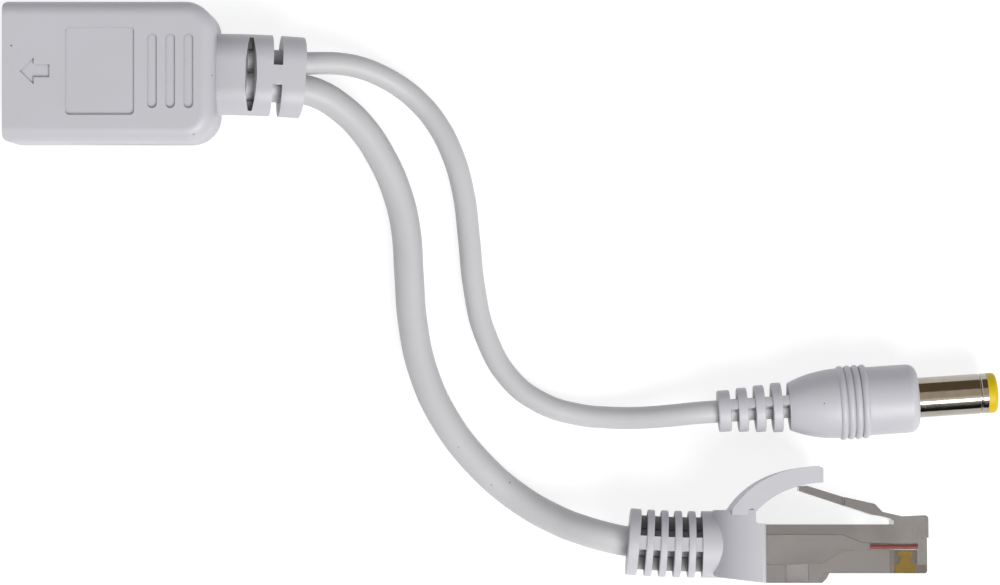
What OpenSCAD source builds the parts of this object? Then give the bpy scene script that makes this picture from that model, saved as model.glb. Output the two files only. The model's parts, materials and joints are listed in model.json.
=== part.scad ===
// Passive power splitter lead, in millimetres, +Z up, lying as it rests on a table.
// A network socket sits in a moulded housing. A data lead with a network plug and a
// power lead with a barrel plug come out of the housing's slotted neck.

/* [Housing] */
// Length of the housing without its neck
housing_l = 28.5; // [27:0.5:36]
// Width across the housing
housing_w = 18.9; // [18:0.1:24]
// Height of the housing
housing_h = 16; // [15.4:0.2:20]
// Fillet along the top and bottom edges
edge_r = 1.9; // [0.8:0.1:1.9]
// Plan radius of the two corners beside the neck
corner_r = 4; // [4:0.5:6]
// Rounding round the socket's mouth
mouth_r = 0.8; // [0.3:0.1:1.1]
// Depth of the arrow, the panel and the grips in the top face
recess_depth = 0.35; // [0.2:0.05:0.6]
// Length of the recessed panel
panel_l = 9.3; // [6:0.1:9.8]
// Width of the recessed panel
panel_w = 11.8; // [8:0.1:13]
// Number of grip slots
grip_count = 3; // [2:1:3]
// Width of one grip slot
grip_w = 1.3; // [0.8:0.1:1.8]
// Length of one grip slot
grip_l = 10; // [6:0.5:13]
// Distance from one grip slot to the next
grip_pitch = 2.45; // [2.2:0.05:2.5]
// Length of the arrow that points at the socket
arrow_l = 4; // [3:0.1:4.4]
// Width of the arrow's head
arrow_w = 3.6; // [2.6:0.1:5]

/* [Neck] */
// Length of the neck along its bend
neck_l = 11.3; // [10.8:0.1:14]
// Width of the neck
neck_w = 11.1; // [10.4:0.1:12.5]
// Thickness of the neck
neck_h = 7.5; // [6.6:0.1:8.6]
// How far the neck's end points down, in degrees
neck_droop = 14; // [6:1:20]
// How far the neck's end points aside, in degrees
neck_yaw = 4; // [0:1:8]
// Length of the plain collar beside the housing
neck_collar_l = 3.6; // [3:0.1:4.2]
// Width of the slot across the neck's top and bottom
neck_slot_w = 1.5; // [1:0.1:1.8]
// Length of the ring between the slot and the side notches
neck_ring_l = 2; // [1.2:0.1:2.2]
// Width of the notches in the neck's sides
neck_notch_w = 1.3; // [1:0.1:1.9]
// Width of the web that is left between the side notches
neck_web_w = 2.7; // [2:0.1:3.4]

/* [Leads] */
// Diameter of the data lead
data_cord_d = 4.1; // [3.6:0.1:4.4]
// Diameter of the power lead
dc_cord_d = 3.1; // [2.6:0.1:3.3]
// Room round a lead where it passes through a moulding
cord_clearance = 0.15; // [0.1:0.05:0.25]
// Diameter of a data conductor
data_wire_d = 0.9; // [0.7:0.05:0.95]
// Diameter of a power conductor
dc_wire_d = 1.3; // [1:0.1:1.4]

/* [Socket] */
// Width of the socket's mouth
socket_w = 11.9; // [11.8:0.05:12.2]
// Height of the socket's mouth above the latch channel
socket_h = 6.9; // [6.8:0.05:7.1]
// Depth of the socket
socket_depth = 13.5; // [12.5:0.5:14.5]
// Thickness of the insert's side walls
insert_wall = 1.25; // [1:0.05:1.5]
// Thickness of the insert's back wall
insert_back = 3.3; // [2.5:0.1:3.6]
// Distance from one contact to the next
pin_pitch = 1.02; // [1:0.01:1.04]
// Width of a spring contact
spring_w = 0.45; // [0.3:0.05:0.5]
// Thickness of a spring contact
spring_t = 0.35; // [0.25:0.05:0.4]
// Room between pieces that fit into each other
fit_clearance = 0.1; // [0.05:0.01:0.15]

/* [Network plug] */
// Width of the plug across its contacts
plug_w = 11.68; // [11.5:0.02:11.8]
// Length of the clear plug body
plug_l = 21.8; // [21.5:0.1:23]
// Height of the plug's front part
plug_h = 6.6; // [6.5:0.05:6.7]
// Height of the plug's rear part
plug_rear_h = 7.9; // [7.4:0.1:8.2]
// Length of the plug's rear part
plug_rear_l = 7.6; // [7:0.1:8.4]
// Width of the latch
latch_w = 6.1; // [5.6:0.1:6.4]
// Width of the latch's free tab
latch_tab_w = 3.3; // [2.8:0.1:4]
// Thickness of a plug contact blade
blade_t = 0.35; // [0.25:0.05:0.4]

/* [Plug boot] */
// Width of the boot across the plug
boot_w = 13.4; // [12.8:0.1:15]
// Length of the boot between its round sleeve and the plug
boot_l = 7.1; // [6.6:0.1:9]
// Diameter of the ribbed strain relief
relief_d = 9.1; // [8.8:0.1:9.6]
// Number of ribs between the sleeve and the end collar
rib_count = 4; // [3:1:4]
// Width of one rib
rib_w = 1; // [0.8:0.05:1.1]
// Gap between two ribs
rib_gap = 0.92; // [0.8:0.01:1]
// Width of the end collar
end_collar_w = 1.5; // [1.2:0.1:2]
// Bend of the strain relief, in degrees
relief_bend = 4.9; // [2:0.1:8]
// Width of the hook arm at its root
arm_root_w = 13.3; // [10:0.1:13.4]
// Width of the hook arm at its end
arm_end_w = 9; // [7:0.2:10]

/* [Barrel plug] */
// Outer diameter of the metal barrel
barrel_d = 5.5; // [5.4:0.02:5.6]
// Length of the barrel outside the handle
barrel_l = 9.5; // [9:0.1:12]
// Diameter of the centre hole
centre_bore_d = 2.1; // [2.1:0.1:2.5]
// Wall of the metal barrel
barrel_wall = 0.5; // [0.4:0.05:0.6]
// Length of the insulating tip
tip_l = 1.4; // [1:0.1:2]
// Diameter of the handle behind the barrel
handle_d = 9.4; // [8.6:0.1:9.6]
// Diameter over the ring beads
bead_d = 10.2; // [9.9:0.1:10.6]
// Number of ring beads
bead_count = 4; // [3:1:5]
// Distance from one bead to the next
bead_pitch = 1.02; // [0.98:0.01:1.08]
// Length of the tapered stretch in front of the discs
taper_l = 6.75; // [6:0.05:8]
// Length of the plain stretch behind the barrel
plain_l = 6.9; // [6.5:0.1:9]
// Number of discs in the strain relief
disc_count = 4; // [3:1:4]
// Distance from one disc to the next
disc_pitch = 2.37; // [2.2:0.01:2.5]
// Diameter of the smallest disc
disc_d = 5.7; // [5.4:0.1:6]

/* [Hidden] */
$fn = 48;

e = 0.01;       // a cut runs this far past the face that it opens
far = 40;       // longer than any piece that is cut
PINS = 8;       // contacts in the socket and in the plug
fillet_steps = 10;

// Places along the housing. The origin is under the middle of housing and neck.
neck_bend = sqrt(pow(neck_droop, 2) + pow(neck_yaw, 2));
neck_lean = atan2(neck_yaw, neck_droop);
neck_r = neck_l / (neck_bend * PI / 180);
neck_reach = neck_r * sin(neck_bend) + neck_h / 2 * sin(neck_droop);
front_x = -(housing_l + neck_reach) / 2;
rear_x = front_x + housing_l;
mid_z = housing_h / 2;

// The two leads lie side by side in the neck, as wide together as their diameters.
cord_gap = 0.02;
cord_pair_w = data_cord_d + dc_cord_d + cord_gap;
data_y = (data_cord_d - cord_pair_w) / 2;
dc_y = (cord_pair_w - dc_cord_d) / 2;

// The insert and what it holds
insert_base = 0.9;
channel_h = 2.4;
channel_front_h = 1;
lock_wall = 1.8;
channel_tab_w = 3.8;
comb_h = 0.8;
insert_roof = 0.9;
insert_h = insert_base + channel_h + socket_h + comb_h + insert_roof;
insert_w = socket_w + 2 * insert_wall;
insert_l = socket_depth + insert_back;
socket_floor = mid_z - insert_h / 2 + insert_base + channel_h;
socket_roof = socket_floor + socket_h;
spring_run_z = socket_roof + comb_h / 2;
spring_fold_r = 0.6;
spring_fold_at = 3.4;
spring_leg = 6.6;
spring_slope = 15;
tail_l = 1.5;
tail_x = front_x + insert_l + tail_l;

// The hollow behind the insert, where the leads' conductors meet the contacts
hollow_wall = 2.6;
hollow_w = 11.2;
hollow_h = 9.4;
hollow_x = rear_x - hollow_wall;
wire_start_x = hollow_x - 0.6;

// Routes of the two leads' centre lines, from the hollow to the far plugs
data_route = [
    [5.3, -1.56, 8], [8.3, -1.56, 8], [12.2, -1.61, 7.83], [16.2, -1.76, 7.3], [19.9, -1.99, 6.5],
    [22.3, -2.78, 5.8], [24.7, -4.3, 5.1], [27.4, -6.8, 4.3], [30.2, -10.9, 3.3],
    [32.6, -16.4, 2.4], [33.7, -21.4, 2.05], [34.1, -27.2, 2.05], [34.6, -33.8, 2.05],
    [36, -40.5, 2.05], [39, -47.2, 2.05], [43.9, -53.6, 2.05], [49.4, -58.3, 2.4],
    [54.9, -61.3, 4.3], [58, -62.4, 5.8], [60.9, -63.2, 6.7], [64.2, -63.87, 6.97],
    [67.1, -64.07, 6.97], [70.4, -64.23, 6.97], [74.3, -64.3, 6.97], [80.5, -64.3, 6.97]
];
dc_route = [
    [5.3, 2.06, 8], [8.3, 2.06, 8], [12.2, 2.01, 7.83], [16.2, 1.86, 7.3], [19.9, 1.63, 6.5],
    [22.3, 1.7, 5.8], [24.7, 1.65, 5], [27.4, 1.2, 4.1], [30.1, 0.2, 3.2], [32.8, -1.3, 2.4],
    [35.4, -3.4, 1.8], [37.7, -6.1, 1.55], [40, -10.4, 1.55], [41.6, -15.9, 1.55],
    [42.4, -22.3, 1.55], [43.1, -29, 1.55], [44.6, -35.5, 1.55], [48.2, -41.9, 1.55],
    [52.7, -45.2, 1.55], [57.6, -46.7, 1.6], [61.8, -47.1, 2.1], [66, -47.1, 3.1],
    [70.2, -46.75, 4.25], [73.6, -46.38, 4.95], [76.65, -46.15, 5.1], [81, -45.85, 5.1],
    [86.5, -45.48, 5.1]
];

// Where the plugs lie: the boot's front face on its axis, and the barrel plug's first disc
plug_roll = 3.5;
boot_top = 4.7;
plug_at = [82.7, -64.3, boot_w / 2 * cos(plug_roll) + boot_top * sin(plug_roll)];
dc_at = [76.65, -46.15, bead_d / 2];
dc_turn = 3.9;
dc_roll = -20;

// Heights in the network plug above its boot's axis, towards the latch
plug_top = 2.75;
plug_step = 0.6;
nose_step_y = 0.95;
nose_setback = 1.2;
latch_top = 4;
latch_reach = 0.55;
latch_back = -4.2;
latch_free_x = plug_l - 16.95;
plug_wire_y = -0.25;
plug_wire_end = plug_l - 1.2;
channel_d = data_wire_d + 0.08;
blade_x = plug_l - 4.3;
blade_l = 3;
blade_top = plug_wire_y - channel_d / 2 - 0.08;
core_w = 10;
core_nose = plug_l - 7.7;
relief_l = rib_count * rib_w + (rib_count + 1) * rib_gap + end_collar_w;
relief_r = relief_l / (relief_bend * PI / 180);
sleeve_l = 1.3;
rib_room = 0.3;
web_stop = 0.3;
web_root = 0.8;

// Stations along the barrel plug, from its first disc
disc_w = 1.35;
first_disc_w = 1.7;
disc_lead = 0.32;
handle_lead = 0.27;
last_disc_d = 6.8;
disc_step = (last_disc_d - disc_d) / (disc_count - 1);
handle_x = disc_count * disc_pitch + handle_lead;
handle_start_d = 6.5;
bead_x = handle_x + taper_l;
bead_r = 0.52;
plain_x = bead_x + bead_count * bead_pitch;
handle_end = plain_x + plain_l;
handle_end_r = 1.35;
dc_cord_end = handle_x + 0.3;
barrel_seat_l = 9.1;
barrel_start = handle_end - barrel_seat_l;
barrel_end = handle_end + barrel_l;
shank_d = barrel_d - 0.4;
liner_d = barrel_d - 2 * barrel_wall - 0.04;
contact_tube_d = centre_bore_d + 0.5;

GREY_PVC = "#c9c9d1";
GOLD = "#c9a13b";

// Helpers

function unit(v) = v / norm(v);
function arc(c, r, from, to, steps) =
    [for (i = [0:steps]) let (a = from + (to - from) * i / steps) c + r * [cos(a), sin(a)]];
function bezier(a, b, c, steps) =
    [for (i = [0:steps]) let (t = i / steps) (1 - t) * (1 - t) * a + 2 * t * (1 - t) * b + t * t * c];

// Direction of a route at one of its points
function heading(p, i) =
    unit((i == 0 ? [0, 0, 0] : unit(p[i] - p[i - 1]))
        + (i == len(p) - 1 ? [0, 0, 0] : unit(p[i + 1] - p[i])));

// Outline of a strip of one thickness that follows a line in its middle
function strip_normal(p, i) =
    let (a = i == 0 ? [0, 0] : unit(p[i] - p[i - 1]))
    let (b = i == len(p) - 1 ? [0, 0] : unit(p[i + 1] - p[i]))
    let (u = unit(a + b))
    [-u.y, u.x];
function strip(p, t) = concat(
    [for (i = [0:len(p) - 1]) p[i] + strip_normal(p, i) * t / 2],
    [for (i = [len(p) - 1:-1:0]) p[i] - strip_normal(p, i) * t / 2]);

// Round tube or wire along a route, with flat ends
module along_route(route, d, sides) {
    rings = len(route);
    points = [
        for (i = [0:rings - 1])
            let (t = heading(route, i))
            let (u = unit(cross([0, 0, 1], t)))
            let (v = cross(t, u))
            for (k = [0:sides - 1])
                let (a = 360 * (k + 0.5) / sides)
                route[i] + d / 2 * (cos(a) * u + sin(a) * v)
    ];
    faces = concat(
        [[for (k = [sides - 1:-1:0]) k]],
        [for (i = [0:rings - 2], k = [0:sides - 1])
            let (n = (k + 1) % sides)
            [i * sides + k, i * sides + n, (i + 1) * sides + k]],
        [for (i = [0:rings - 2], k = [0:sides - 1])
            let (n = (k + 1) % sides)
            [i * sides + n, (i + 1) * sides + n, (i + 1) * sides + k]],
        [[for (k = [0:sides - 1]) (rings - 1) * sides + k]]);
    polyhedron(points, [for (f = faces) [for (i = [len(f) - 1:-1:0]) f[i]]]);
}

module rounded_rect(size, r) {
    square([size.x - 2 * r, size.y], center = true);
    square([size.x, size.y - 2 * r], center = true);
    for (sx = [-1, 1], sy = [-1, 1])
        translate([sx * (size.x / 2 - r), sy * (size.y / 2 - r)]) circle(r);
}

module stadium(l, w) {
    square([l - w, w], center = true);
    for (s = [-1, 1]) translate([s * (l - w) / 2, 0]) circle(d = w);
}

// A section in the YZ plane carried along +X
module extrude_x(l) {
    rotate([90, 0, 90]) linear_extrude(l) children();
}

// Turns a shape revolved about Z so that its axis lies along +X
module axis_x() {
    rotate([0, 90, 0]) children();
}

// Housing

module neck_root() {
    translate([rear_x, 0, mid_z]) rotate([-neck_lean, 0, 0]) children();
}

// A section, across by up, swept along the bend of the neck between two angles
module neck_sweep(from, to) {
    neck_root() translate([0, 0, -neck_r]) rotate([-90, -90, 0])
        rotate(from) rotate_extrude(angle = to - from) translate([neck_r, 0])
            rotate(90 - neck_lean) children();
}

// A place on the neck's axis, at a distance along the bend
module on_neck(s) {
    neck_root() translate([0, 0, -neck_r]) rotate([0, s / neck_l * neck_bend, 0])
        translate([0, 0, neck_r]) rotate([neck_lean, 0, 0]) children();
}

module neck() {
    slot_at = neck_collar_l + neck_slot_w / 2;
    notch_at = neck_collar_l + neck_slot_w + neck_ring_l + neck_notch_w / 2;
    slot_floor = neck_h * 0.12;
    slot_l = neck_w - 1.1;
    difference() {
        union() {
            neck_sweep(0, neck_bend) stadium(neck_w, neck_h);
            // the neck runs on into the housing's round back
            translate([rear_x - 1, 0, mid_z]) extrude_x(1 + e) stadium(neck_w, neck_h);
        }
        on_neck(slot_at) for (s = [-1, 1])
            translate([0, 0, s * (slot_floor + far / 2)]) cube([neck_slot_w, slot_l, far], center = true);
        on_neck(notch_at) for (s = [-1, 1])
            translate([0, s * (neck_web_w + far) / 2, 0]) cube([neck_notch_w, far, far], center = true);
    }
}

// The two holes that the leads fill, from the hollow to the neck's end
module lead_holes() {
    wall_angle = asin((hollow_wall + 0.5) / neck_r);
    for (lead = [[data_y, data_cord_d], [dc_y, dc_cord_d]])
        neck_sweep(-wall_angle, neck_bend + 1)
            translate([lead[0], 0]) circle(d = lead[1] + 2 * cord_clearance);
}

// Section of the housing's edge, out from a straight cut, with the fillet above and below
function edge_section(w) =
    let (c = [w - edge_r, housing_h / 2 - edge_r])
    concat(
        [[0, -housing_h / 2]], arc([c.x, -c.y], edge_r, -90, 0, fillet_steps),
        arc(c, edge_r, 0, 90, fillet_steps), [[0, housing_h / 2]]);

// The two corners join the body and its round back face to face
module housing_block() {
    corner_x = rear_x - corner_r;
    corner_y = housing_w / 2 - corner_r;
    half = edge_section(housing_w / 2);
    back = concat([[-1, housing_h / 2], [-1, -housing_h / 2]], edge_section(corner_r));
    translate([front_x, 0, mid_z]) extrude_x(housing_l - corner_r)
        polygon(concat(half, [for (i = [len(half) - 2:-1:1]) [-half[i].x, half[i].y]]));
    translate([corner_x, corner_y, mid_z]) rotate([90, 0, 0]) linear_extrude(2 * corner_y)
        polygon(back);
    for (s = [-1, 1])
        translate([corner_x, s * corner_y, mid_z]) rotate(s > 0 ? 0 : -90)
            rotate_extrude(angle = 90) polygon(edge_section(corner_r));
}

// Rounds the front corners of the housing, seen from above and from the side
module mouth_rounding() {
    translate([front_x + far / 2, 0, -e]) linear_extrude(housing_h + 2 * e)
        rounded_rect([far, housing_w], mouth_r);
}

module arrow_shape() {
    head_l = arrow_l * 0.47;
    shaft_w = arrow_w * 0.48;
    polygon([
        [0, 0], [head_l, arrow_w / 2], [head_l, shaft_w / 2], [arrow_l, shaft_w / 2],
        [arrow_l, -shaft_w / 2], [head_l, -shaft_w / 2], [head_l, -arrow_w / 2]
    ]);
}

module top_recesses() {
    arrow_at = 2.4;
    panel_at = 8.5;
    last_grip = 3.4;
    translate([0, 0, housing_h - recess_depth]) linear_extrude(recess_depth + e) {
        translate([front_x + arrow_at, 0]) arrow_shape();
        translate([front_x + panel_at + panel_l / 2, 0]) rounded_rect([panel_l, panel_w], 0.6);
        for (i = [0:grip_count - 1])
            translate([rear_x - last_grip - i * grip_pitch, 0]) rotate(90) stadium(grip_l, grip_w);
    }
}

module housing() {
    pocket_w = insert_w + 2 * fit_clearance;
    pocket_h = insert_h + 2 * fit_clearance;
    hollow_l = hollow_x - (front_x + insert_l);
    color(GREY_PVC) difference() {
        union() {
            intersection() {
                housing_block();
                mouth_rounding();
            }
            neck();
        }
        translate([front_x - e, -pocket_w / 2, mid_z - pocket_h / 2])
            cube([insert_l + fit_clearance + e, pocket_w, pocket_h]);
        translate([hollow_x - hollow_l, -hollow_w / 2, mid_z + pocket_h / 2 - hollow_h])
            cube([hollow_l, hollow_w, hollow_h]);
        lead_holes();
        top_recesses();
    }
}

// Socket

function pin_y(i) = (i - (PINS + 1) / 2) * pin_pitch;

module jack_insert() {
    comb_w = spring_w + 2 * fit_clearance;
    color("#26262b") difference() {
        translate([front_x, -insert_w / 2, mid_z - insert_h / 2]) cube([insert_l, insert_w, insert_h]);
        translate([front_x - e, -socket_w / 2, socket_floor]) cube([socket_depth, socket_w, socket_h]);
        // the latch channel has a shallow mouth, and a ledge behind which the latch locks
        translate([front_x - e, -latch_w / 2 - 0.1, socket_floor - channel_front_h])
            cube([socket_depth, latch_w + 0.2, channel_front_h + e]);
        translate([front_x - e, -channel_tab_w / 2, socket_floor - channel_h])
            cube([socket_depth, channel_tab_w, channel_h + e]);
        translate([front_x + lock_wall, -latch_w / 2 - 0.1, socket_floor - channel_h])
            cube([socket_depth - lock_wall - e, latch_w + 0.2, channel_h + e]);
        for (i = [1:PINS])
            translate([front_x + 2, pin_y(i) - comb_w / 2, socket_roof - e])
                cube([far, comb_w, comb_h + e]);
    }
}

// A spring contact runs back through the comb, folds at the front and slopes to its tip
module jack_contact(i) {
    fold_c = [front_x + spring_fold_at, spring_run_z - spring_fold_r];
    fold_turn = 180 - spring_slope;
    fold_steps = 10;
    fold = arc(fold_c, spring_fold_r, 90, 90 + fold_turn, fold_steps);
    tip = fold[fold_steps] + spring_leg * [cos(spring_slope), -sin(spring_slope)];
    line = concat([[tail_x, spring_run_z]], fold, [tip]);
    color(GOLD) translate([0, pin_y(i) + spring_w / 2, 0]) rotate([90, 0, 0])
        linear_extrude(spring_w) polygon(strip(line, spring_t));
}

// A conductor's way from a lead's end up to the tail of its contact
function tail_route(from, y, rise) =
    let (span = wire_start_x - tail_x)
    let (end_z = spring_run_z)
    [
        [wire_start_x, from.x, from.y],
        [wire_start_x - 0.3 * span, (from.x + y) / 2, from.y + rise],
        [tail_x + 0.38 * span, y, end_z - 1],
        [tail_x + 0.2 * span, y, end_z - 0.1],
        [tail_x + fit_clearance, y, end_z]
    ];

module data_tail(i, from, rise, tint) {
    color(tint) along_route(tail_route([data_y, mid_z] + from, pin_y(i), rise), data_wire_d, 8);
}

module power_tail(i, from, tint) {
    y = (pin_y(i) + pin_y(i + 1)) / 2;
    color(tint) along_route(tail_route([dc_y, mid_z] + from, y, 1.5), dc_wire_d, 8);
}

// Leads

module data_cord() {
    color(GREY_PVC) along_route(data_route, data_cord_d, 12);
}

module dc_cord() {
    color(GREY_PVC) along_route(dc_route, dc_cord_d, 8);
}

// Network plug

module at_plug() {
    translate(plug_at) rotate([-plug_roll, 0, 0]) children();
}

// An outline seen from above, carried across the plug and centred on its axis
module across_plug(w) {
    linear_extrude(w, center = true) children();
}

function plug_pin_z(i) = ((PINS + 1) / 2 - i) * pin_pitch;

plug_bottom = plug_top - plug_h;
plug_rear_bottom = plug_top - plug_rear_h;

// The core fills the plug from behind and tapers to a nose at the conductors
window_x = [plug_rear_l - 4.7, plug_rear_l - 1.7];
core_points = [
    [-e, 1.35], [core_nose - 3.7, 1.35], [core_nose - 1.1, 0.3], [core_nose, 0.25],
    [core_nose, plug_wire_y - 0.5], [core_nose - 3.5, -0.75],
    [plug_rear_l, -2.45], [window_x[1], -2.55], [window_x[0], -2.7], [-e, -2.7]
];

module plug_core(grow) {
    across_plug(core_w + 2 * grow) offset_outline(core_points, grow);
    translate([window_x[0] - grow, plug_rear_bottom, -core_w / 4 - grow])
        cube([window_x[1] - window_x[0] + 2 * grow, plug_top - plug_rear_bottom - 3, core_w / 2 + 2 * grow]);
}

// Moves each corner of a clockwise outline outwards by the same distance
function corner_out(p, i, d) =
    let (n = len(p))
    let (a = unit(p[i] - p[(i + n - 1) % n]))
    let (b = unit(p[(i + 1) % n] - p[i]))
    let (m = unit([-a.y, a.x] + [-b.y, b.x]))
    p[i] + m * d / max(0.5, m * [-a.y, a.x]);

module offset_outline(p, d) {
    polygon([for (i = [0:len(p) - 1]) corner_out(p, i, d)]);
}

module plug_shell() {
    nose_x = plug_l - nose_setback;
    step_x = plug_rear_l;
    across_plug(plug_w) polygon(concat(
        [[0, plug_top], [0, plug_rear_bottom], [step_x, plug_rear_bottom]],
        [[step_x + plug_step, plug_rear_bottom + plug_step], [step_x + 1.6 * plug_step, plug_bottom]],
        arc([plug_l - 0.4, plug_bottom + 0.4], 0.4, -90, 0, 6),
        [[plug_l, nose_step_y], [nose_x, nose_step_y]],
        arc([nose_x - 0.5, plug_top - 0.5], 0.5, 0, 90, 6)));
}

// The latch and the block on the nose that it bends from, measured back from the plug's front
module plug_latch() {
    tab_root = -10.8;
    free = latch_free_x - plug_l;
    translate([plug_l, 0, 0]) {
        across_plug(latch_w) polygon(concat(
            [[-1.4, nose_step_y], [latch_back, nose_step_y], [latch_back, 3.3], [-4.5, 3.5]],
            [[-6.05, 3.9], [-7.2, 4.05], [tab_root, 5.25], [tab_root, 6.45], [-6.75, 5.55]],
            [[-5.7, 4.45], [-3, 3.85]],
            arc([latch_reach - 0.5, latch_top - 0.5], 0.5, 90, 0, 6),
            [[latch_reach, nose_step_y]]));
        across_plug(latch_tab_w) polygon([
            [free, 7.3], [tab_root + 0.5, 5.09], [tab_root + 0.5, 6.35], [tab_root, 6.45],
            [free + 1.1, 8.02], [free, 7.95]
        ]);
    }
}

module plug_body() {
    slot_w = blade_t + fit_clearance;
    color([0.75, 0.75, 0.78, 0.5]) at_plug() difference() {
        union() {
            plug_shell();
            plug_latch();
        }
        plug_core(fit_clearance / 2);
        for (i = [1:PINS]) translate([0, 0, plug_pin_z(i)]) {
            translate([core_nose - 1, plug_wire_y, 0])
                axis_x() cylinder(d = channel_d, h = plug_wire_end - core_nose + 1.1);
            translate([blade_x - fit_clearance, plug_bottom - e, -slot_w / 2])
                cube([blade_l + 2 * fit_clearance, plug_wire_y - plug_bottom, slot_w]);
            // each blade's slot runs out through the front edge
            translate([blade_x, plug_bottom - e, -slot_w / 2]) cube([far, 1.1, slot_w]);
        }
    }
}

// A blade stands on the floor of the plug, with teeth that bite into the conductor
module plug_blade(i) {
    top_from = 0.45;
    top_to = 2.5;
    teeth = [for (k = [0:3]) each [
        [top_from + k * (top_to - top_from) / 3, blade_top],
        if (k < 3) [top_from + (k + 0.5) * (top_to - top_from) / 3, blade_top - 0.2]
    ]];
    flare = plug_bottom + 1.25;
    color(GOLD) at_plug() translate([blade_x, 0, plug_pin_z(i)]) across_plug(blade_t)
        polygon(concat(teeth, [
            [top_to, blade_top - 0.7], [2.2, blade_top - 0.9], [2.2, flare + 0.15], [blade_l, flare],
            [blade_l - 0.2, plug_bottom], [0.2, plug_bottom], [0, flare], [0.8, flare + 0.15],
            [0.8, blade_top - 0.9], [top_from, blade_top - 0.7]
        ]));
}

module plug_wire(i, tint) {
    from = core_nose + fit_clearance;
    color(tint) at_plug() translate([from, plug_wire_y, plug_pin_z(i)])
        axis_x() cylinder(d = data_wire_d, h = plug_wire_end - from);
}

// Boot

relief_x = -boot_l - sleeve_l;

// A section swept along the bend of the strain relief, from inside the end collar into the sleeve
module relief_sweep() {
    turn_per_mm = relief_bend / relief_l;
    translate([relief_x, relief_r, 0]) rotate([0, 0, -90 - (relief_l - web_stop) * turn_per_mm])
        rotate_extrude(angle = (relief_l - web_stop + web_root) * turn_per_mm)
            translate([relief_r, 0]) children();
}

module on_relief(s) {
    translate([relief_x, relief_r, 0]) rotate(-s / relief_l * relief_bend)
        translate([0, -relief_r, 0]) children();
}

// A round disc with rounded rims and a hole, its axis along X and one face at x = 0
module relief_disc(d, w, hole) {
    rim_r = 0.2;
    axis_x() rotate_extrude() intersection() {
        translate([0, w / 2]) rounded_rect([d, w], rim_r);
        translate([hole / 2, -far]) square([far, 2 * far]);
    }
}

// Ribs stand round the lead on two side bars and two webs, above and below it
module boot_relief(hole) {
    web_w = 1.9;
    bar_h = 2.2;
    core_d = 7.4;
    for (k = [0:rib_count - 1])
        on_relief(rib_gap + k * (rib_w + rib_gap) + rib_w) relief_disc(relief_d, rib_w, hole + rib_room);
    on_relief(relief_l) relief_disc(relief_d, end_collar_w, hole + rib_room);
    relief_sweep() difference() {
        union() {
            square([core_d, bar_h], center = true);
            square([web_w, relief_d - 0.5], center = true);
        }
        circle(d = hole);
    }
}

// Outline of the boot between sleeve and plug, with the notch under the hook arm
module boot_outline() {
    notch_x = -1.4;
    notch_r = 0.55;
    notch_floor = plug_top + 0.1;
    heel_r = 0.9;
    heel_y = -3.55;
    heel_turn = 70;
    shoulder_r = 0.7;
    polygon(concat(
        [[0, notch_floor], [notch_x + notch_r, notch_floor]],
        arc([notch_x + notch_r, notch_floor + notch_r], notch_r, -90, -180, 5),
        [[notch_x, boot_top - 0.4], [notch_x - 0.2, boot_top]],
        arc([-boot_l + shoulder_r, boot_top - shoulder_r], shoulder_r, 90, 180, 5),
        arc([-boot_l + heel_r, heel_y], heel_r, 180, 180 + heel_turn, 5),
        [[0, plug_rear_bottom]]));
}

module boot_block() {
    shoulder_r = boot_w / 2 - 0.7;
    end_r = 0.5;
    intersection() {
        across_plug(boot_w) boot_outline();
        translate([0, far / 2, 0]) rotate([90, 0, 0]) linear_extrude(far) intersection() {
            translate([-boot_l, -boot_w / 2]) square([boot_l, boot_w]);
            translate([far / 2 - boot_l, 0]) rounded_rect([far, boot_w], shoulder_r);
            translate([-far / 2, 0]) rounded_rect([far, boot_w], end_r);
        }
    }
}

// The hook arm springs from the boot and reaches over the latch's free end
module hook_arm() {
    arm_tip_x = latch_free_x + 3.15;
    arm_top = 10.7;
    arm_under = 8.45;
    tip_r = 0.35;
    tip_fall = 0.15;
    root = [-4.6, -1.4];
    narrowing_x = -3;
    corner = 0.5;
    intersection() {
        across_plug(arm_root_w) polygon(concat(
            bezier([root[0], boot_top], [-0.9, arm_top - 0.4], [arm_tip_x - 0.8, arm_top], 14),
            arc([arm_tip_x - tip_r, arm_top - tip_fall - tip_r], tip_r, 90, 0, 4),
            bezier([arm_tip_x, arm_under], [2, arm_under - 0.35], [root[1], boot_top - 0.3], 14),
            [[root[1], boot_top - 0.7], [root[0], boot_top - 0.7]]));
        translate([0, far / 2, 0]) rotate([90, 0, 0]) linear_extrude(far) polygon([
            [-6, -arm_root_w / 2], [narrowing_x, -arm_root_w / 2], [arm_tip_x - corner, -arm_end_w / 2],
            [arm_tip_x, corner - arm_end_w / 2], [arm_tip_x, arm_end_w / 2 - corner],
            [arm_tip_x - corner, arm_end_w / 2], [narrowing_x, arm_root_w / 2], [-6, arm_root_w / 2]
        ]);
    }
}

module plug_boot() {
    hole_d = data_cord_d + 2 * cord_clearance;
    color(GREY_PVC) at_plug() {
        boot_relief(hole_d);
        difference() {
            union() {
                translate([relief_x, 0, 0]) axis_x() cylinder(d = relief_d, h = sleeve_l + 3);
                boot_block();
                hook_arm();
                plug_core(0);
            }
            // the ribs and the sleeve stand a little clear of the lead, the webs hold it
            translate([relief_x - 1, 0, 0]) axis_x() cylinder(d = hole_d + rib_room, h = boot_l + 1);
        }
    }
}

// Barrel plug

module at_barrel() {
    translate(dc_at) rotate([0, 0, dc_turn]) children();
}

// Turns a profile of [station, radius] points about the plug's axis
module turned(profile) {
    axis_x() rotate_extrude() polygon([for (p = profile) [p.y, p.x]]);
}

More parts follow.
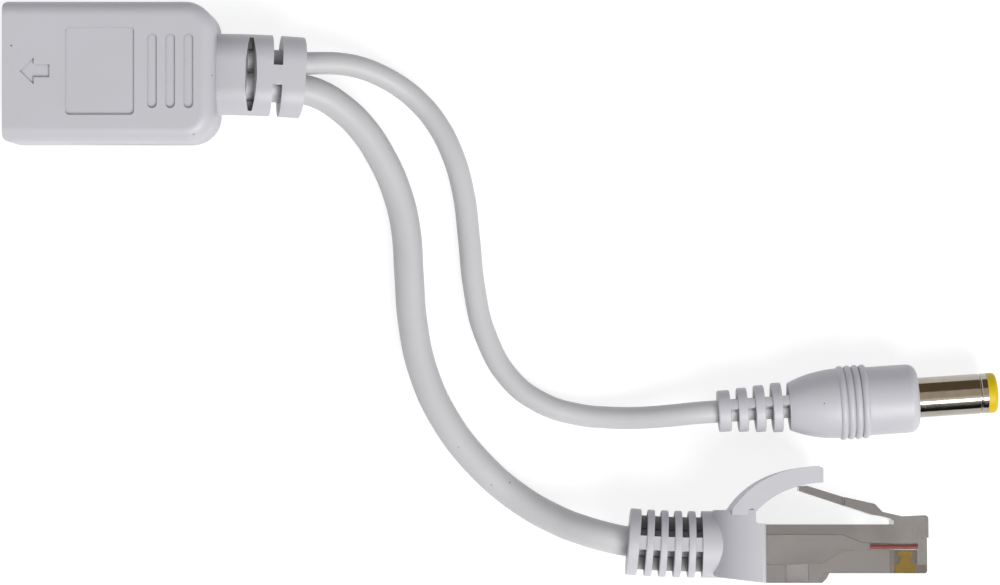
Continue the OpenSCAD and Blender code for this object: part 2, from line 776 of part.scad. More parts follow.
module dc_handle() {
    web_w = 1.3;
    seat_d = shank_d + fit_clearance;
    color(GREY_PVC) at_barrel() difference() {
        union() {
            relief_disc(disc_d, first_disc_w, 0);
            for (k = [1:disc_count - 1]) translate([k * disc_pitch + disc_lead, 0, 0])
                relief_disc(disc_d + k * disc_step, disc_w, 0);
            rotate([dc_roll, 0, 0]) for (s = [-1, 1]) intersection() {
                translate([0.4, -web_w / 2, s > 0 ? 0 : -far]) cube([handle_x + 1, web_w, far]);
                turned([
                    [0.3, 0], [0.3, disc_d / 2 - 0.15],
                    [handle_x + 2, handle_start_d / 2], [handle_x + 2, 0]
                ]);
            }
            turned(concat(
                [[handle_x, 0]],
                bezier([handle_x, handle_start_d / 2], [handle_x + taper_l * 0.45, handle_d / 2],
                    [bead_x, handle_d / 2 + 0.1], 10),
                [[plain_x, handle_d / 2]],
                arc([handle_end - handle_end_r, handle_d / 2 - handle_end_r], handle_end_r, 90, 0, 6),
                [[handle_end, 0]]));
            for (k = [0:bead_count - 1])
                translate([bead_x + (k + 0.5) * bead_pitch, 0, 0]) axis_x()
                    rotate_extrude() translate([bead_d / 2 - bead_r, 0]) circle(bead_r);
        }
        translate([-1, 0, 0])
            axis_x() cylinder(d = dc_cord_d + 2 * cord_clearance, h = dc_cord_end + 1 + e);
        translate([dc_cord_end, 0, 0]) axis_x() cylinder(d = seat_d, h = far);
    }
}

// The sleeve sits in the handle on a thinner shank, up to a shoulder at the handle's end
module dc_sleeve() {
    shoulder = handle_end + 0.02;
    groove = [barrel_end - 1.02, barrel_end - 0.87, barrel_end - 0.72];
    groove_depth = 0.12;
    inner = barrel_d / 2 - barrel_wall;
    outer = barrel_d / 2;
    color("#9b958c") at_barrel() turned([
        [barrel_start, inner], [barrel_start, shank_d / 2], [shoulder, shank_d / 2],
        [shoulder, outer], [groove[0], outer], [groove[1], outer - groove_depth],
        [groove[2], outer], [barrel_end, outer], [barrel_end, inner]
    ]);
}

module dc_insulator() {
    start = barrel_start + 1.5;
    inner = contact_tube_d / 2 + 0.02;
    tip_r = barrel_d / 2;
    tip_x = barrel_end + 0.02;
    tip_end = barrel_end + tip_l;
    color("#f0d92e") at_barrel() turned(concat(
        [[start, inner], [start, liner_d / 2], [tip_x, liner_d / 2], [tip_x, tip_r]],
        bezier([tip_end - 0.65, tip_r], [tip_end, tip_r], [tip_end, tip_r - 1.1], 8),
        [[tip_end, inner]]));
}

module dc_centre_contact() {
    start = barrel_start + 1;
    end = barrel_end + tip_l - 0.5;
    color("#b8b4ac") at_barrel() turned([
        [start - 1, 0], [start - 1, 0.7], [start, 0.7], [start, contact_tube_d / 2],
        [end, contact_tube_d / 2], [end, centre_bore_d / 2], [start + 2, centre_bore_d / 2],
        [start + 1.4, 0]
    ]);
}

module dc_wire(y, end_y, end_x, tint) {
    start = dc_cord_end + 0.1;
    color(tint) at_barrel() along_route(
        [[start, y, 0], [start + 3, y, 0], [end_x - 2, end_y, 0], [end_x, end_y, 0]], dc_wire_d, 8);
}

housing();
jack_insert();
jack_contact(1);  // jack_contact_1
jack_contact(2);  // jack_contact_2
jack_contact(3);  // jack_contact_3
jack_contact(4);  // jack_contact_4
jack_contact(5);  // jack_contact_5
jack_contact(6);  // jack_contact_6
jack_contact(7);  // jack_contact_7
jack_contact(8);  // jack_contact_8
data_tail(1, [-1, 0.2], 1.2, "#b8322f");  // data_tail_1
data_tail(2, [-0.1, 0.9], 1.2, "#e6e6e6");  // data_tail_2
data_tail(3, [0.9, 0.4], 1.4, "#3f7d46");  // data_tail_3
data_tail(6, [0.4, -0.8], 0.1, "#d9a13c");  // data_tail_6
power_tail(4, [-0.7, 0.3], "#b8322f");  // power_tail_red
power_tail(7, [0.7, 0.1], "#2b2b2e");  // power_tail_black
data_cord();
dc_cord();
plug_boot();
plug_body();
plug_blade(1);  // plug_blade_1
plug_blade(2);  // plug_blade_2
plug_blade(3);  // plug_blade_3
plug_blade(4);  // plug_blade_4
plug_blade(5);  // plug_blade_5
plug_blade(6);  // plug_blade_6
plug_blade(7);  // plug_blade_7
plug_blade(8);  // plug_blade_8
plug_wire(1, "#b8322f");  // plug_wire_1
plug_wire(2, "#e6e6e6");  // plug_wire_2
plug_wire(3, "#3f7d46");  // plug_wire_3
plug_wire(6, "#d9a13c");  // plug_wire_6
dc_handle();
dc_sleeve();
dc_insulator();
dc_centre_contact();
dc_wire(0.75, 0, barrel_start - 0.1, "#b8322f");  // dc_wire_red
dc_wire(-0.75, -1.9, barrel_start - 0.1, "#2b2b2e");  // dc_wire_black
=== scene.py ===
# %% [markdown]
# # A splitter lead, dressed around its CAD model
# The part is a short lead for power over a network cable. A moulded housing holds a network
# socket. A data lead and a power lead leave its neck and end in a network plug and a barrel plug.
# The CAD model gives every shape and place. This lesson adds the camera, the lamps, the two
# leads as smooth curves, softened edges on the mouldings and a material for every piece.

# %% Load the CAD model
import json
import math

import bmesh
import bpy
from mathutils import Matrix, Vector


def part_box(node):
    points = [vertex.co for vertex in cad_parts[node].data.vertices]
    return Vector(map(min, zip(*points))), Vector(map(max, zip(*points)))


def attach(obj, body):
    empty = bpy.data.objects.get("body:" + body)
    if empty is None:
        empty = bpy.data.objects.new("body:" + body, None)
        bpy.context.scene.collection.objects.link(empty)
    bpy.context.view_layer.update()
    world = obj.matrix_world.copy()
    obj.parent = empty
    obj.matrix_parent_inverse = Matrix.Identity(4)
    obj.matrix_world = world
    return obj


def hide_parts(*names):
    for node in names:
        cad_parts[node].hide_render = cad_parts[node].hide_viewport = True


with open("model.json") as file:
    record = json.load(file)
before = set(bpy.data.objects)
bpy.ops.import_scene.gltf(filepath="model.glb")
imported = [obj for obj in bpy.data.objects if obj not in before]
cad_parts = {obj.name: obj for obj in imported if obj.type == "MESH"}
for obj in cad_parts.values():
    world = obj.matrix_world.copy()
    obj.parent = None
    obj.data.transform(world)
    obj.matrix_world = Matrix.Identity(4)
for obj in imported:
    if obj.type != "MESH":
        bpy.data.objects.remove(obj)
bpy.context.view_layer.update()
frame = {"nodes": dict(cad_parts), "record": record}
scene = bpy.context.scene
MM = 0.001

# %% [markdown]
# ## Camera
# The object lies on a table and is seen from straight above, about half a metre up. A long lens
# keeps the shapes nearly flat, and the picture is as wide as 139 mm of table.

# %% Camera above the table
camera_height = 500 * MM
seen_width = 138.9 * MM
camera_data = bpy.data.cameras.new("camera")
camera_data.sensor_fit = "HORIZONTAL"
camera_data.sensor_width = 36
camera_data.lens = camera_data.sensor_width * camera_height / seen_width
camera_data.clip_start = 0.01
camera = bpy.data.objects.new("camera", camera_data)
camera.location = (46.7 * MM, -29.8 * MM, camera_height)
scene.collection.objects.link(camera)
scene.camera = camera
print("lens", round(camera_data.lens, 1), "mm")

# %% [markdown]
# ## The two leads
# Each lead is a round jacket that lies in loose curves. A Bezier curve through a few points on
# its centre line, with a round bevel, gives a smooth tube of one diameter from end to end. The
# tube is kept as a mesh, and the curve's own points are kept as the path that it follows.

# %% A lead from a route
data_route = [
    (5.3, -1.56, 8), (8.3, -1.56, 8), (12.2, -1.61, 7.83), (16.2, -1.76, 7.3), (19.9, -1.99, 6.5),
    (22.3, -2.78, 5.8), (24.7, -4.3, 5.1), (27.4, -6.8, 4.3), (30.2, -10.9, 3.3),
    (32.6, -16.4, 2.4), (33.7, -21.4, 2.05), (34.1, -27.2, 2.05), (34.6, -33.8, 2.05),
    (36, -40.5, 2.05), (39, -47.2, 2.05), (43.9, -53.6, 2.05), (49.4, -58.3, 2.4),
    (54.9, -61.3, 4.3), (58, -62.4, 5.8), (60.9, -63.2, 6.7), (64.2, -63.87, 6.97),
    (67.1, -64.07, 6.97), (70.4, -64.23, 6.97), (74.3, -64.3, 6.97), (80.5, -64.3, 6.97)
]
dc_route = [
    (5.3, 2.06, 8), (8.3, 2.06, 8), (12.2, 2.01, 7.83), (16.2, 1.86, 7.3), (19.9, 1.63, 6.5),
    (22.3, 1.7, 5.8), (24.7, 1.65, 5), (27.4, 1.2, 4.1), (30.1, 0.2, 3.2), (32.8, -1.3, 2.4),
    (35.4, -3.4, 1.8), (37.7, -6.1, 1.55), (40, -10.4, 1.55), (41.6, -15.9, 1.55),
    (42.4, -22.3, 1.55), (43.1, -29, 1.55), (44.6, -35.5, 1.55), (48.2, -41.9, 1.55),
    (52.7, -45.2, 1.55), (57.6, -46.7, 1.6), (61.8, -47.1, 2.1), (66, -47.1, 3.1),
    (70.2, -46.75, 4.25), (73.6, -46.38, 4.95), (76.65, -46.15, 5.1), (81, -45.85, 5.1),
    (86.5, -45.48, 5.1)
]


def bezier_through(name, route_mm):
    curve = bpy.data.curves.new(name, "CURVE")
    curve.dimensions = "3D"
    curve.resolution_u = 10
    spline = curve.splines.new("BEZIER")
    spline.bezier_points.add(len(route_mm) - 1)
    for point, place in zip(spline.bezier_points, route_mm):
        point.co = Vector(place) * MM
        point.handle_left_type = point.handle_right_type = "AUTO"
    made = bpy.data.objects.new(name, curve)
    scene.collection.objects.link(made)
    return made


def plain_mesh(obj):
    graph = bpy.context.evaluated_depsgraph_get()
    return bpy.data.meshes.new_from_object(obj.evaluated_get(graph))


def lead_tube(name, route_mm, diameter):
    """A closed round tube along the route, the points it follows, and its length."""
    line = bezier_through(name + "_line", route_mm)
    centre = [tuple(v.co) for v in plain_mesh(line).vertices]
    line.data.bevel_depth = diameter / 2
    line.data.bevel_resolution = 7
    line.data.use_fill_caps = True
    tube = bpy.data.objects.new(name, plain_mesh(line))
    bpy.data.objects.remove(line)
    scene.collection.objects.link(tube)
    tube.data.shade_smooth()
    length = sum((Vector(p) - Vector(q)).length for p, q in zip(centre, centre[1:]))
    print(name, "is", round(length / MM, 1), "mm long,", len(tube.data.polygons), "faces")
    return tube, centre, length


data_lead, data_path, data_length = lead_tube("data_lead", data_route, 4.1 * MM)
dc_lead, dc_path, dc_length = lead_tube("dc_lead", dc_route, 3.1 * MM)
for lead, node in ((data_lead, "data_cord"), (dc_lead, "dc_cord")):
    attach(lead, "root")
    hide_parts(node)

# %% [markdown]
# ## Table and light
# The floor is pale and plain. To the camera it glows a little, so that it reads as white while it
# still takes the object's soft shadow. Gloss and glass see that white too, but it adds no light.

# %% Helpers for shader nodes
def add_node(tree, kind, settings=None, **inputs):
    made = tree.nodes.new(kind)
    for key, value in (settings or {}).items():
        setattr(made, key, value)
    for key, value in inputs.items():
        socket = made.inputs[key.replace("_", " ")]
        if isinstance(value, bpy.types.NodeSocket):
            tree.links.new(value, socket)
        else:
            socket.default_value = value
    return made


def seen_directly(tree):
    """1 for rays from the camera, from gloss and through glass, 0 for light on the object."""
    path = add_node(tree, "ShaderNodeLightPath")
    seen = path.outputs["Is Camera Ray"]
    for ray in ("Is Glossy Ray", "Is Transmission Ray"):
        larger = add_node(tree, "ShaderNodeMath", {"operation": "MAXIMUM"})
        tree.links.new(seen, larger.inputs[0])
        tree.links.new(path.outputs[ray], larger.inputs[1])
        seen = larger.outputs[0]
    return seen


# %% Floor
floor_mesh = bpy.data.meshes.new("floor")
half = 3.0
floor_mesh.from_pydata([(-half, -half, 0), (half, -half, 0), (half, half, 0), (-half, half, 0)],
                       [], [(0, 1, 2, 3)])
floor = bpy.data.objects.new("floor", floor_mesh)
floor.location = (0, 0, -0.02 * MM)
scene.collection.objects.link(floor)

paper = bpy.data.materials.new("table_paper")
paper.use_nodes = True
tree = paper.node_tree
tree.nodes.clear()
coords = add_node(tree, "ShaderNodeTexCoord")
fibre = add_node(tree, "ShaderNodeTexNoise", Vector=coords.outputs["Object"], Scale=900.0)
tone = add_node(tree, "ShaderNodeMapRange", Value=fibre.outputs["Fac"], To_Min=0.84, To_Max=0.88)
matte = add_node(tree, "ShaderNodeBsdfDiffuse", Color=tone.outputs["Result"])
glow = add_node(tree, "ShaderNodeEmission", Color=(1, 1, 1, 1), Strength=0.80)
dimmed = add_node(tree, "ShaderNodeBsdfDiffuse", Color=(0.30, 0.30, 0.31, 1))
white = add_node(tree, "ShaderNodeAddShader")
tree.links.new(glow.outputs[0], white.inputs[0])
tree.links.new(dimmed.outputs[0], white.inputs[1])
choose = add_node(tree, "ShaderNodeMixShader")
tree.links.new(seen_directly(tree), choose.inputs[0])
tree.links.new(matte.outputs[0], choose.inputs[1])
tree.links.new(white.outputs[0], choose.inputs[2])
output = add_node(tree, "ShaderNodeOutputMaterial")
tree.links.new(choose.outputs[0], output.inputs["Surface"])
floor_mesh.materials.append(paper)

# %% Lamps and sky
scene.view_settings.view_transform = "Standard"


def area_lamp(name, place, aim, size, watts, colour=(1, 1, 1)):
    data = bpy.data.lights.new(name, "AREA")
    data.shape = "SQUARE"
    data.size = size
    data.energy = watts
    data.color = colour
    lamp = bpy.data.objects.new(name, data)
    lamp.location = place
    lamp.rotation_euler = (Vector(aim) - Vector(place)).to_track_quat("-Z", "Y").to_euler()
    scene.collection.objects.link(lamp)
    return lamp


middle = (0.045, -0.03, 0)
area_lamp("key", (0.36, -0.52, 0.64), middle, 0.45, 6.9, (1, 0.99, 0.97))
area_lamp("fill", (-0.40, 0.35, 0.60), middle, 0.7, 1.2, (0.97, 0.98, 1))

world = bpy.data.worlds.new("studio")
scene.world = world
world.use_nodes = True
tree = world.node_tree
tree.nodes.clear()
room = add_node(tree, "ShaderNodeBackground", Color=(0.93, 0.94, 0.97, 1), Strength=0.33)
backdrop = add_node(tree, "ShaderNodeBackground", Color=(1, 1, 1, 1), Strength=1.0)
choose = add_node(tree, "ShaderNodeMixShader")
tree.links.new(seen_directly(tree), choose.inputs[0])
tree.links.new(room.outputs[0], choose.inputs[1])
tree.links.new(backdrop.outputs[0], choose.inputs[2])
output = add_node(tree, "ShaderNodeOutputWorld")
tree.links.new(choose.outputs[0], output.inputs["Surface"])

# %% [markdown]
# ## Cards for the metal to mirror
# Polished metal shows little but what stands around it. In a studio dark and brown cards stand
# beside a shiny part, so that a round sleeve gets crisp bands. These cards are seen by gloss
# alone. They neither light the object nor shade it.

# %% Cards around the table
def card(name, corners, colour):
    mesh = bpy.data.meshes.new(name)
    mesh.from_pydata(corners, [], [(0, 1, 2, 3)])
    paint_of_card = bpy.data.materials.new(name)
    paint_of_card.use_nodes = True
    nodes = paint_of_card.node_tree
    nodes.nodes.clear()
    even = add_node(nodes, "ShaderNodeEmission", Color=(*colour, 1), Strength=1.0)
    end = add_node(nodes, "ShaderNodeOutputMaterial")
    nodes.links.new(even.outputs[0], end.inputs["Surface"])
    mesh.materials.append(paint_of_card)
    made = bpy.data.objects.new(name, mesh)
    made.visible_camera = made.visible_diffuse = made.visible_shadow = False
    made.visible_transmission = False
    scene.collection.objects.link(made)
    return made


near_side, far_side, left, right = -0.445, 0.355, -0.35, 0.55
card("black_card", [(left, near_side, -0.01), (right, near_side, -0.01),
                    (right, near_side, 0.52), (left, near_side, 0.52)], (0.006, 0.007, 0.008))
card("brown_card", [(left, far_side, -0.01), (right, far_side, -0.01),
                    (right, far_side, 0.68), (left, far_side, 0.68)], (0.17, 0.13, 0.08))
card("tan_card", [(left, -0.15, 0.72), (right, -0.15, 0.72),
                  (right, 0.36, 0.72), (left, 0.36, 0.72)], (0.70, 0.62, 0.50))
print("3 cards stand around the table")

# %% [markdown]
# ## Finishes
# Moulded PVC, jacket, gold and nickel all vary a little over their surface. One node group makes
# that variation from noise on Object coordinates, and each material gives it its own values.

# %% Node group for a surface that varies
def new_group(name, inputs, outputs):
    group = bpy.data.node_groups.new(name, "ShaderNodeTree")
    for label, kind, value in inputs:
        socket = group.interface.new_socket(label, in_out="INPUT", socket_type="NodeSocket" + kind)
        socket.default_value = value
    for label, kind in outputs:
        group.interface.new_socket(label, in_out="OUTPUT", socket_type="NodeSocket" + kind)
    return group, group.nodes.new("NodeGroupInput").outputs, group.nodes.new("NodeGroupOutput").inputs


def surface_group():
    group, given, result = new_group(
        "varied_surface",
        [("Colour", "Color", (0.5, 0.5, 0.5, 1)), ("Second Colour", "Color", (0.4, 0.4, 0.4, 1)),
         ("Mottle Scale", "Float", 60.0), ("Grain Scale", "Float", 4000.0),
         ("Grain Depth", "Float", 0.1), ("Smoothest", "Float", 0.3), ("Roughest", "Float", 0.5)],
        [("Colour", "Color"), ("Roughness", "Float"), ("Normal", "Vector")])
    place = add_node(group, "ShaderNodeTexCoord").outputs["Object"]
    mottle = add_node(group, "ShaderNodeTexNoise", Vector=place, Scale=given["Mottle Scale"],
                      Detail=4.0)
    share = add_node(group, "ShaderNodeMapRange", Value=mottle.outputs["Fac"], From_Min=0.35,
                     From_Max=0.65)
    tint = add_node(group, "ShaderNodeMix", {"data_type": "RGBA"})
    group.links.new(share.outputs["Result"], tint.inputs[0])
    group.links.new(given["Colour"], tint.inputs[6])
    group.links.new(given["Second Colour"], tint.inputs[7])
    group.links.new(tint.outputs[2], result["Colour"])
    rough = add_node(group, "ShaderNodeMapRange", Value=mottle.outputs["Fac"], From_Min=0.3,
                     From_Max=0.7, To_Min=given["Smoothest"], To_Max=given["Roughest"])
    group.links.new(rough.outputs["Result"], result["Roughness"])
    grain = add_node(group, "ShaderNodeTexNoise", Vector=place, Scale=given["Grain Scale"],
                     Detail=2.0)
    bump = add_node(group, "ShaderNodeBump", Strength=given["Grain Depth"], Distance=0.00005,
                    Height=grain.outputs["Fac"])
    group.links.new(bump.outputs["Normal"], result["Normal"])
    return group


varied_surface = surface_group()

# %% [markdown]
# Pale mouldings also carry a few dark specks from the press. A second group scatters them: each
# Voronoi cell has one small dot, and only a share of the cells shows it.

# %% Node group for moulding specks
def speck_group():
    group, given, result = new_group(
        "moulding_specks",
        [("Colour", "Color", (0.5, 0.5, 0.5, 1)), ("Speck Colour", "Color", (0.12, 0.11, 0.11, 1)),
         ("Cells", "Float", 420.0), ("Dot", "Float", 0.05), ("Share", "Float", 0.5)],
        [("Colour", "Color")])
    place = add_node(group, "ShaderNodeTexCoord").outputs["Object"]
    cells = add_node(group, "ShaderNodeTexVoronoi", Vector=place, Scale=given["Cells"])
    dot = add_node(group, "ShaderNodeMath", {"operation": "LESS_THAN"})
    group.links.new(cells.outputs["Distance"], dot.inputs[0])
    group.links.new(given["Dot"], dot.inputs[1])
    chance = add_node(group, "ShaderNodeSeparateColor", Color=cells.outputs["Color"])
    shown = add_node(group, "ShaderNodeMath", {"operation": "LESS_THAN"})
    group.links.new(chance.outputs["Red"], shown.inputs[0])
    group.links.new(given["Share"], shown.inputs[1])
    both = add_node(group, "ShaderNodeMath", {"operation": "MULTIPLY"})
    group.links.new(dot.outputs[0], both.inputs[0])
    group.links.new(shown.outputs[0], both.inputs[1])
    mixed = add_node(group, "ShaderNodeMix", {"data_type": "RGBA"})
    group.links.new(both.outputs[0], mixed.inputs[0])
    group.links.new(given["Colour"], mixed.inputs[6])
    group.links.new(given["Speck Colour"], mixed.inputs[7])
    group.links.new(mixed.outputs[2], result["Colour"])
    return group


moulding_specks = speck_group()

# %% [markdown]
# Narrow gaps, as between the ribs of the boot, lie in deep shade. A third group finds such
# gaps with the Ambient Occlusion node and darkens the colour there as painted shade.

# %% Node group for painted shade in gaps
def painted_gap_shade_group():
    group, given, result = new_group(
        "dust_in_gaps",
        [("Colour", "Color", (0.5, 0.5, 0.5, 1)), ("Painted Shade Colour", "Color", (0.16, 0.16, 0.155, 1)),
         ("Reach", "Float", 0.0022), ("Amount", "Float", 0.85)],
        [("Colour", "Color")])
    # Painted shade: the colour is darkened in narrow gaps, where shade falls.
    open_sky = add_node(group, "ShaderNodeAmbientOcclusion", {"samples": 8, "only_local": True},
                        Distance=given["Reach"])
    closed = add_node(group, "ShaderNodeMapRange", Value=open_sky.outputs["AO"], From_Min=0.52,
                      From_Max=0.20, To_Max=given["Amount"])
    mixed = add_node(group, "ShaderNodeMix", {"data_type": "RGBA"})
    group.links.new(closed.outputs["Result"], mixed.inputs[0])
    group.links.new(given["Colour"], mixed.inputs[6])
    group.links.new(given["Painted Shade Colour"], mixed.inputs[7])
    group.links.new(mixed.outputs[2], result["Colour"])
    return group


dust_in_gaps = painted_gap_shade_group()


def finish(name, colour, second, smoothest=0.35, roughest=0.5, mottle=60.0, grain=4000.0,
           depth=0.1, specks=0.0, **shader_values):
    """A Principled material whose colour, roughness and normal come from the groups."""
    material = bpy.data.materials.new(name)
    material.use_nodes = True
    tree = material.node_tree
    shader = tree.nodes["Principled BSDF"]
    group = tree.nodes.new("ShaderNodeGroup")
    group.node_tree = varied_surface
    for key, value in (("Colour", (*colour, 1)), ("Second Colour", (*second, 1)),
                       ("Mottle Scale", mottle), ("Grain Scale", grain), ("Grain Depth", depth),
                       ("Smoothest", smoothest), ("Roughest", roughest)):
        group.inputs[key].default_value = value
    tint = group.outputs["Colour"]
    if specks:
        dots = tree.nodes.new("ShaderNodeGroup")
        dots.node_tree = moulding_specks
        dots.inputs["Share"].default_value = specks
        tree.links.new(tint, dots.inputs["Colour"])
        # Moulded finishes with specks also get painted shade in their narrow gaps.
        gaps = tree.nodes.new("ShaderNodeGroup")
        gaps.node_tree = dust_in_gaps
        tree.links.new(dots.outputs["Colour"], gaps.inputs["Colour"])
        tint = gaps.outputs["Colour"]
    tree.links.new(tint, shader.inputs["Base Color"])
    tree.links.new(group.outputs["Roughness"], shader.inputs["Roughness"])
    tree.links.new(group.outputs["Normal"], shader.inputs["Normal"])
    for key, value in shader_values.items():
        shader.inputs[key.replace("_", " ")].default_value = value
    return material


# %% The finishes of this object
pvc = finish("moulded_pvc", (0.53, 0.53, 0.57), (0.50, 0.50, 0.535), 0.38, 0.5, 45.0, 3500.0, 0.12,
             specks=0.35)
jacket = finish("jacket_pvc", (0.56, 0.56, 0.575), (0.53, 0.53, 0.545), 0.4, 0.52, 80.0, 2500.0, 0.1,
                specks=0.25)
# Painted light: a much paler copy of the PVC for the boot's nose inside the clear plastic.
lighter_painted_nose = finish("pvc_in_the_plug", (0.94, 0.94, 0.99), (0.90, 0.90, 0.95), 0.4, 0.5, 45.0, 3500.0)
black_plastic = finish("socket_plastic", (0.03, 0.03, 0.033), (0.022, 0.022, 0.025), 0.3, 0.42)
gold = finish("gold_plate", (1.0, 0.74, 0.17), (0.92, 0.62, 0.11), 0.20, 0.34, 900.0, 6000.0,
              0.15, Metallic=1.0)
gold_blade = finish("gold_in_plastic", (1.0, 0.74, 0.13), (0.94, 0.62, 0.08), 0.35, 0.5, 900.0,
                    6000.0, 0.15, Metallic=0.4)
nickel = finish("nickel_plate", (0.40, 0.365, 0.32), (0.36, 0.33, 0.28), 0.09, 0.16, 500.0, 6000.0,
                0.06, Metallic=1.0)
yellow_plastic = finish("yellow_tip", (0.70, 0.52, 0.006), (0.62, 0.43, 0.005), 0.35, 0.45, 300.0,
                        Specular_IOR_Level=0.25)
insulation = {
    name: finish("insulation_" + name, colour, tuple(0.85 * c for c in colour), 0.3, 0.4, 400.0)
    for name, colour in (("red", (0.85, 0.10, 0.13)), ("white", (0.75, 0.75, 0.76)),
                         ("green", (0.05, 0.25, 0.09)), ("orange", (0.75, 0.30, 0.04)),
                         ("black", (0.02, 0.02, 0.022)))
}
clear_plastic = finish("clear_plastic", (0.245, 0.232, 0.223), (0.225, 0.212, 0.204), 0.03, 0.08, 120.0,
                       3000.0, 0.02, Transmission_Weight=1.0, IOR=1.5)

# %% [markdown]
# Real clear plastic lets most light through to what lies inside it. Cycles would give it a
# solid shadow, so for shadow rays the material is a clear sheet. A ray that has crossed many
# walls would end black, so the material then glows with painted light, a grey for what lies behind.

# %% Let light through the clear plastic
tree = clear_plastic.node_tree
light_path = add_node(tree, "ShaderNodeLightPath")
let_through = add_node(tree, "ShaderNodeBsdfTransparent", Color=(1, 1, 1, 1))
# Painted light: past three walls the plastic glows grey instead of passing light on.
painted_glow_behind = add_node(tree, "ShaderNodeEmission", Color=(1, 0.97, 0.94, 1), Strength=3.0)
many_walls = add_node(tree, "ShaderNodeMath", {"operation": "GREATER_THAN"})
tree.links.new(light_path.outputs["Transmission Depth"], many_walls.inputs[0])
many_walls.inputs[1].default_value = 3.5
clear_plastic.cycles.emission_sampling = "NONE"
deep = add_node(tree, "ShaderNodeMixShader")
tree.links.new(many_walls.outputs[0], deep.inputs[0])
tree.links.new(tree.nodes["Principled BSDF"].outputs[0], deep.inputs[1])
tree.links.new(painted_glow_behind.outputs[0], deep.inputs[2])
either = add_node(tree, "ShaderNodeMixShader")
tree.links.new(light_path.outputs["Is Shadow Ray"], either.inputs[0])
tree.links.new(deep.outputs[0], either.inputs[1])
tree.links.new(let_through.outputs[0], either.inputs[2])
tree.links.new(either.outputs[0], tree.nodes["Material Output"].inputs["Surface"])
print(len(bpy.data.materials), "materials")

# %% [markdown]
# ## Materials on the CAD nodes
# Every CAD node gets the finish that its own record slot names.

# %% Give each node its finish
finish_of_slot = {
    "pvc": pvc, "cord_pvc": jacket, "socket_plastic": black_plastic, "clear_plastic": clear_plastic,
    "gold_spring": gold, "gold_blade": gold_blade, "nickel": nickel, "yellow_plastic": yellow_plastic,
    "wire_red": insulation["red"], "wire_white": insulation["white"],
    "wire_green": insulation["green"], "wire_orange": insulation["orange"],
    "wire_black": insulation["black"],
}
slot_of = {part["node"]: part["material_slot"] for part in frame["record"]["subparts"]}


def paint(obj, material):
    obj.data.materials.clear()
    obj.data.materials.append(material)


for name, obj in frame["nodes"].items():
    paint(obj, finish_of_slot[slot_of[name]])
for lead in (data_lead, dc_lead):
    paint(lead, jacket)

# %% [markdown]
# ## Soft edges on the mouldings
# A moulding has no knife edges. A copy of each moulded node is merged into one closed mesh and
# its flat areas are joined. Each sharp edge gets a bevel weight, so that one Bevel modifier can
# round the thick neck more than the fine relief, and weighted normals keep flat faces flat.

# %% Softened copies
def softened(node, name, width_at, widest, shape=None, fold=30):
    mesh = frame["nodes"][node].data.copy()
    mesh.name = name
    form = bmesh.new()
    form.from_mesh(mesh)
    bmesh.ops.remove_doubles(form, verts=form.verts, dist=4e-6)
    bmesh.ops.dissolve_degenerate(form, dist=4e-6, edges=form.edges)
    bmesh.ops.dissolve_limit(form, angle_limit=math.radians(0.1), verts=form.verts,
                             edges=form.edges)
    for face in form.faces:
        face.smooth = True
    weight = form.edges.layers.float.new("bevel_weight_edge")
    for edge in form.edges:
        if edge.calc_face_angle(0) < math.radians(fold):
            continue
        if edge.is_convex:
            middle_of_edge = (edge.verts[0].co + edge.verts[1].co) / 2
            edge[weight] = width_at(middle_of_edge / MM) / widest
        else:
            edge.smooth = False
    if shape:
        for corner in form.verts:
            corner.co = shape(corner.co / MM) * MM
    form.to_mesh(mesh)
    form.free()
    copy = bpy.data.objects.new(name, mesh)
    scene.collection.objects.link(copy)
    bevel = copy.modifiers.new("soft_edge", "BEVEL")
    bevel.width = widest * MM
    bevel.segments = 3
    bevel.limit_method = "WEIGHT"
    bevel.miter_outer = "MITER_ARC"
    copy.modifiers.new("flat_faces", "WEIGHTED_NORMAL").keep_sharp = True
    baked = bpy.data.meshes.new_from_object(copy.evaluated_get(
        bpy.context.evaluated_depsgraph_get()))
    copy.modifiers.clear()
    copy.data = baked
    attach(copy, "root")
    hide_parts(node)
    paint(copy, finish_of_slot[slot_of[node]])
    print(name, len(baked.polygons), "faces")
    return copy


def housing_edge(place):
    return 0.32 if place.x > 9.2 else 0.12


def boot_edge(place):
    return 0.45 if place.z > 8.5 or place.y > -58.5 else 0.15


# %% The neck's slot
# The slot across the neck has pointed ends, so its long sides are drawn in towards its middle.
def slot_shape(place):
    """The neck leans a little, so the slot's middle plane is x = 12.9 mm with small slopes."""
    across = place.x - (12.95 + 0.026 * (place.y - 1.7) + 0.095 * (place.z - 11.52))
    along = (place.y + 0.06) / 5.0
    if abs(across) > 0.8 or abs(along) > 1.05:
        return place
    narrow = 0.35 + 0.75 * max(0.0, 1 - along * along)
    return Vector((place.x - across * (1 - narrow), place.y, place.z))


housing_soft = softened("housing", "housing_soft", housing_edge, 0.32, slot_shape)
boot_soft = softened("plug_boot", "boot_soft", boot_edge, 0.45)
handle_soft = softened("dc_handle", "handle_soft", lambda place: 0.12, 0.12)

# %% The boot's nose inside the plug
# The grey clear plastic dims what lies in it, so the nose there gets painted light: a much paler copy
# of the PVC.
boot_soft.data.materials.append(lighter_painted_nose)
nose_faces = [face for face in boot_soft.data.polygons
              if face.center.x > 82.8 * MM and face.center.y < -59.6 * MM]
for face in nose_faces:
    face.material_index = 1
print(len(nose_faces), "faces of the boot lie in the plug")

# %% [markdown]
# ## Spring contacts in the socket
# The socket holds eight equal springs of round gilt wire. Geometry Nodes make them: the path of
# one wire becomes a tube, and a line of points repeats it at the socket's pitch.

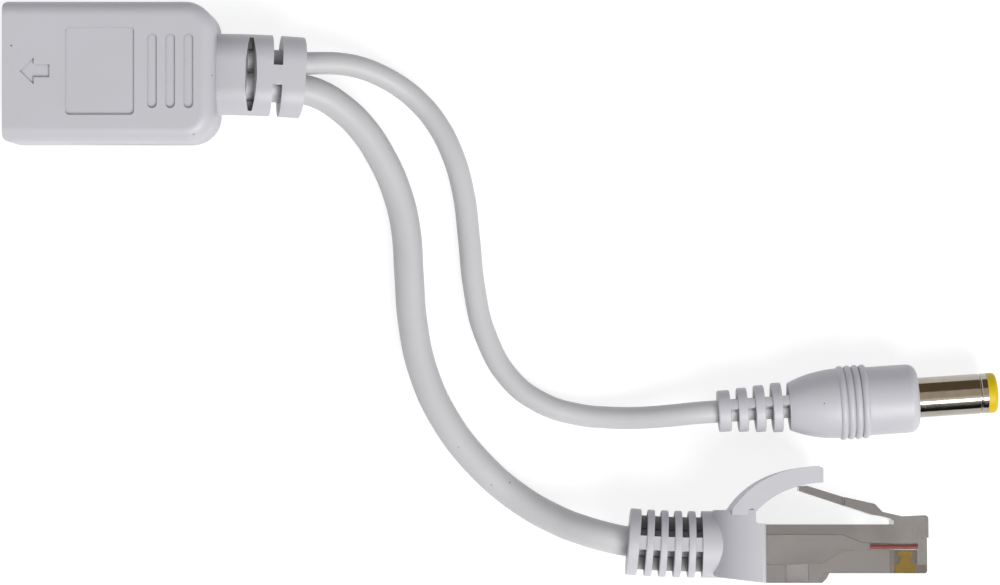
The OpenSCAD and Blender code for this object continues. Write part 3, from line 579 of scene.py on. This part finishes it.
# %% The path of one spring
low_1, high_1 = (Vector(corner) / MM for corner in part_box("jack_contact_1"))
fold_radius, fold_half, leg, slope = 0.6, 0.175, 6.6, math.radians(15)
run_z = high_1.z - fold_half
fold_x, fold_z = low_1.x + fold_radius + fold_half, run_z - fold_radius
path = [(high_1.x, run_z)]
for step in range(13):
    turn = math.radians(90) + (math.pi - slope) * step / 12
    path.append((fold_x + fold_radius * math.cos(turn), fold_z + fold_radius * math.sin(turn)))
path.append((path[-1][0] + leg * math.cos(slope), path[-1][1] - leg * math.sin(slope)))
first_y = (low_1.y + high_1.y) / 2
spring_mesh = bpy.data.meshes.new("spring_contacts")
spring_mesh.from_pydata([Vector((x, first_y, z)) * MM for x, z in path],
                        [(i, i + 1) for i in range(len(path) - 1)], [])
springs = bpy.data.objects.new("spring_contacts", spring_mesh)
scene.collection.objects.link(springs)
print("one spring has", len(path), "points")


# %% A tree that repeats a wire
def wire_row_tree():
    tree = bpy.data.node_groups.new("wire_row", "GeometryNodeTree")
    tree.interface.new_socket("Geometry", in_out="INPUT", socket_type="NodeSocketGeometry")
    for label, kind in (("Count", "Int"), ("Pitch", "Vector"), ("Wire Radius", "Float"),
                        ("Material", "Material")):
        tree.interface.new_socket(label, in_out="INPUT", socket_type="NodeSocket" + kind)
    tree.interface.new_socket("Geometry", in_out="OUTPUT", socket_type="NodeSocketGeometry")
    given = tree.nodes.new("NodeGroupInput").outputs
    wire = add_node(tree, "GeometryNodeMeshToCurve", Mesh=given["Geometry"])
    ring = add_node(tree, "GeometryNodeCurvePrimitiveCircle", Resolution=16,
                    Radius=given["Wire Radius"])
    tube = tree.nodes.new("GeometryNodeCurveToMesh")
    tree.links.new(wire.outputs[0], tube.inputs["Curve"])
    tree.links.new(ring.outputs[0], tube.inputs["Profile Curve"])
    tube.inputs["Fill Caps"].default_value = True
    row = add_node(tree, "GeometryNodeMeshLine", Count=given["Count"], Offset=given["Pitch"])
    copies = add_node(tree, "GeometryNodeInstanceOnPoints", Points=row.outputs[0],
                      Instance=tube.outputs[0])
    real = add_node(tree, "GeometryNodeRealizeInstances", Geometry=copies.outputs[0])
    coated = add_node(tree, "GeometryNodeSetMaterial", Geometry=real.outputs[0],
                      Material=given["Material"])
    end = tree.nodes.new("NodeGroupOutput")
    tree.links.new(coated.outputs[0], end.inputs["Geometry"])
    return tree


def with_tree(obj, tree, **values):
    """Run a tree on an object with its named inputs, and keep the result as a plain mesh."""
    modifier = obj.modifiers.new(tree.name, "NODES")
    modifier.node_group = tree
    for item in tree.interface.items_tree:
        if item.in_out == "INPUT" and item.name.replace(" ", "_") in values:
            modifier[item.identifier] = values[item.name.replace(" ", "_")]
    baked = bpy.data.meshes.new_from_object(
        obj.evaluated_get(bpy.context.evaluated_depsgraph_get()))
    obj.modifiers.clear()
    obj.data = baked
    baked.shade_smooth()
    print(obj.name, len(baked.polygons), "faces")


# %% Eight springs
pitch = (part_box("jack_contact_8")[0][1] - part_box("jack_contact_1")[0][1]) / 7
with_tree(springs, wire_row_tree(), Count=8, Pitch=(0.0, pitch, 0.0), Wire_Radius=0.2 * MM,
          Material=gold)
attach(springs, "root")
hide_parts(*[f"jack_contact_{i}" for i in range(1, 9)])

# %% [markdown]
# ## Last update

# %% Update the scene
bpy.context.view_layer.update()
